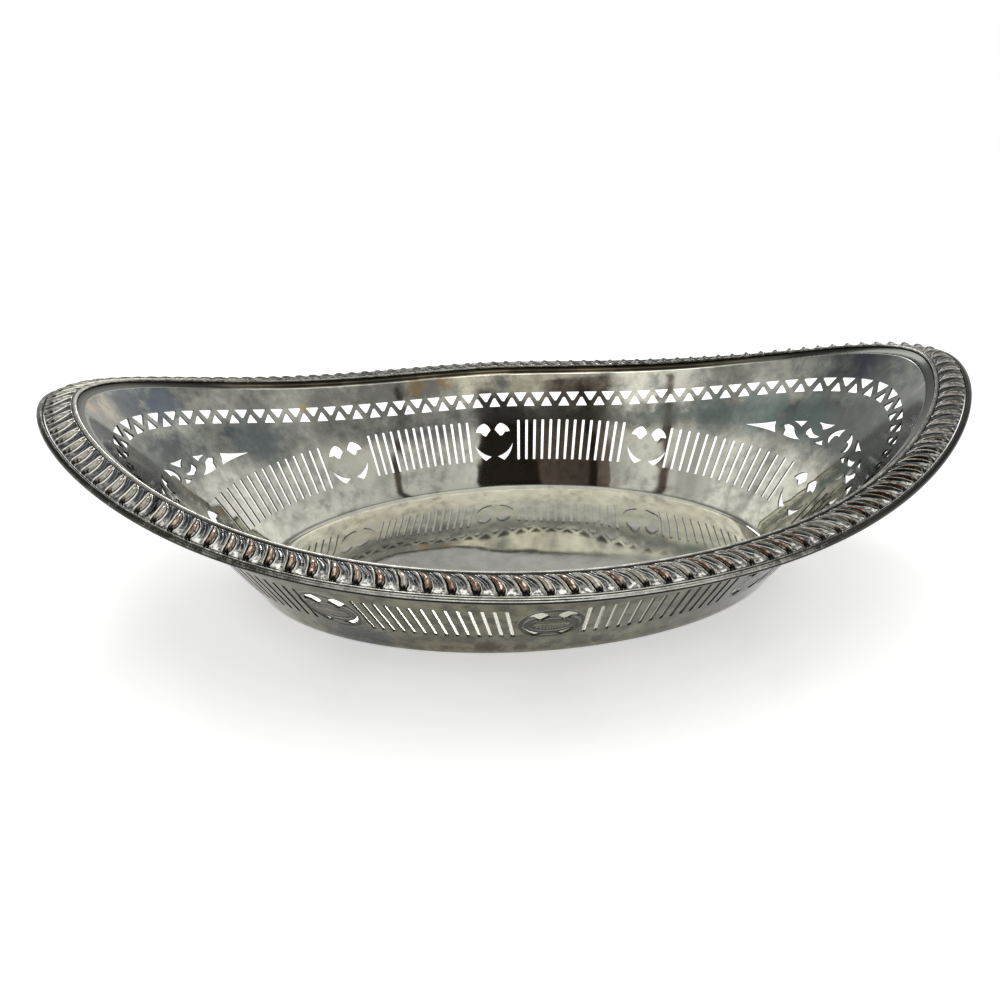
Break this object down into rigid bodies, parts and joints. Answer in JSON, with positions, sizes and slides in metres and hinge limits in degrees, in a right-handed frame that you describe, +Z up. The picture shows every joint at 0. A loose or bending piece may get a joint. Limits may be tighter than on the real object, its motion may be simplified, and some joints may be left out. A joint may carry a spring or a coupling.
{
  "type": "bread bowl",
  "caption": "Oval silver bread bowl with a flat base, a flaring pierced wall of slots, urn medallions, scrolls and a zigzag band, and a gadrooned rim that rises to both ends",
  "frame": {"origin": "centre of the flat base, on the surface that the bowl stands on", "axes": "+X along the bowl's length towards its right end, +Y across it towards the back, +Z up"},
  "size_m": [0.33, 0.2224, 0.0781],
  "materials": {
    "silver_sheet": "polished silver plate with cloudy tarnish",
    "silver_wire": "polished silver plate, dark in its grooves",
    "worn_gadroon": "struck silver plate worn to copper on its lobes",
    "solder": "dull soft solder"
  },
  "bodies": {
    "root": {"pierced_bowl": "silver_sheet", "outer_edge_wire": "silver_wire", "inner_bead_wire": "silver_wire", "gadroon_right_end": "worn_gadroon", "gadroon_back": "worn_gadroon", "gadroon_left_end": "worn_gadroon", "gadroon_front": "worn_gadroon", "filling_right_end": "solder", "filling_back": "solder", "filling_left_end": "solder", "filling_front": "solder"}
  },
  "joints": []
}
